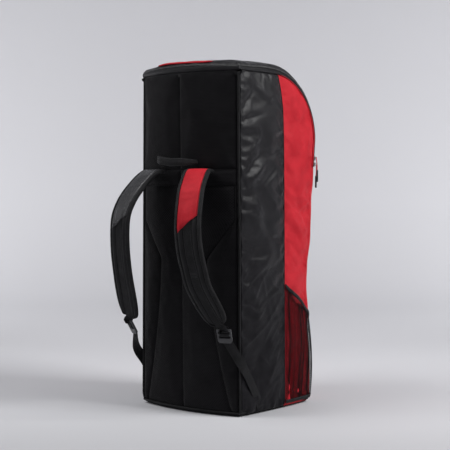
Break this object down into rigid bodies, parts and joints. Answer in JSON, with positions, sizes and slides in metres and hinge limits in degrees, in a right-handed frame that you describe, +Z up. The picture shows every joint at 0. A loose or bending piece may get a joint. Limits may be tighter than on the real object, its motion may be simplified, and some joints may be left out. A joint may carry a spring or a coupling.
{
  "type": "equipment bag",
  "caption": "Tall upright sports equipment backpack with padded mesh back, shoulder straps, zipped fold-over lid, net side pockets and a front pocket.",
  "frame": {"origin": "middle of the underside of the base, on the floor", "axes": "+Z up, -Y out of the padded back with the shoulder straps, +Y out of the front, +X towards the bag's right side as worn"},
  "size_m": [0.3844, 0.5159, 0.9148],
  "materials": {
    "red_polyester": "woven, matte with a soft sheen",
    "black_nylon": "coated weave, satin, lightly creased",
    "black_air_mesh": "padded spacer mesh, matte",
    "black_webbing": "ribbed webbing and tape, matte",
    "black_net": "open elastic net",
    "stiff_board": "smooth sheet, matte",
    "buckle_plastic": "moulded, semi-matte",
    "slider_metal": "cast, satin",
    "red_cord": "braided cord"
  },
  "bodies": {
    "bag": {"adjuster_webbing_left": "black_webbing", "adjuster_webbing_right": "black_webbing", "back_pad_middle_left": "black_air_mesh", "back_pad_middle_right": "black_air_mesh", "back_pad_side_left": "black_air_mesh", "back_pad_side_right": "black_air_mesh", "back_pad_upper_left": "black_air_mesh", "back_pad_upper_right": "black_air_mesh", "back_stiffener": "stiff_board", "back_yoke": "black_air_mesh", "base_board": "stiff_board", "base_panel": "black_nylon", "corner_piping_left": "black_webbing", "corner_piping_right": "black_webbing", "front_corner_left": "red_polyester", "front_corner_right": "red_polyester", "front_panel": "red_polyester", "front_pocket": "black_nylon", "front_pocket_zip": "black_webbing", "lid_rim_back": "black_nylon", "lid_rim_left": "black_nylon", "lid_rim_right": "black_nylon", "lid_zip_back": "black_webbing", "lid_zip_left": "black_webbing", "lid_zip_right": "black_webbing", "mesh_pocket_left": "black_net", "mesh_pocket_right": "black_net", "pocket_elastic_left": "black_webbing", "pocket_elastic_right": "black_webbing", "pocket_hem_left": "black_webbing", "pocket_hem_right": "black_webbing", "side_black_left": "black_nylon", "side_black_right": "black_nylon", "side_piping_left": "black_webbing", "side_piping_right": "black_webbing", "side_red_left": "red_polyester", "side_red_right": "red_polyester", "slider_lower": "slider_metal"},
    "lid": {"lid_insert": "red_polyester", "lid_shell": "black_nylon"},
    "slider_upper": {"slider_upper": "slider_metal"},
    "pull_upper": {"pull_cord_upper": "red_cord", "pull_grip_upper": "buckle_plastic"},
    "pull_lower": {"pull_cord_lower": "red_cord", "pull_grip_lower": "buckle_plastic"},
    "grab_handle": {"grab_handle": "black_webbing"},
    "strap_right": {"ladder_lock_right": "buckle_plastic", "strap_pad_right": "black_air_mesh", "strap_panel_right": "red_polyester", "strap_webbing_right": "black_webbing"},
    "strap_left": {"ladder_lock_left": "buckle_plastic", "strap_pad_left": "black_air_mesh", "strap_panel_left": "black_nylon", "strap_webbing_left": "black_webbing"},
    "front_slider": {"front_pocket_slider": "slider_metal"},
    "front_pull": {"front_pocket_pull": "red_cord"}
  },
  "joints": [
    {"name": "lid_fold", "type": "hinge", "parent": "bag", "child": "lid", "pos_m": [0, 0.20048, 0.64], "axis": [-1, 0, 0], "range_deg": [0, 150]},
    {"name": "upper_slider_run", "type": "slide", "parent": "bag", "child": "slider_upper", "axis": [-0.0073, 0.1077, 0.9942], "range_m": [0, 0.032]},
    {"name": "upper_pull_swing", "type": "hinge", "parent": "slider_upper", "child": "pull_upper", "pos_m": [0.17444, 0.17908, 0.6655], "axis": [0.4078, -0.9131, 0], "range_deg": [0, 110]},
    {"name": "lower_pull_swing", "type": "hinge", "parent": "bag", "child": "pull_lower", "pos_m": [0.17114, 0.18499, 0.6495], "axis": [0.4078, -0.9131, 0], "range_deg": [0, 110]},
    {"name": "handle_lift", "type": "hinge", "parent": "bag", "child": "grab_handle", "pos_m": [0, -0.18542, 0.669], "axis": [-1, 0, 0], "range_deg": [0, 75]},
    {"name": "right_strap_swing", "type": "hinge", "parent": "bag", "child": "strap_right", "pos_m": [0.073, -0.17783, 0.62], "axis": [-1, 0, 0], "range_deg": [0, 15]},
    {"name": "left_strap_swing", "type": "hinge", "parent": "bag", "child": "strap_left", "pos_m": [-0.073, -0.17783, 0.62], "axis": [-1, 0, 0], "range_deg": [0, 15]},
    {"name": "front_slider_run", "type": "slide", "parent": "bag", "child": "front_slider", "axis": [-1, 0, 0], "range_m": [0, 0.14]},
    {"name": "front_pull_swing", "type": "hinge", "parent": "front_slider", "child": "front_pull", "pos_m": [0.074, 0.21755, 0.438], "axis": [1, 0, 0], "range_deg": [0, 100]}
  ]
}
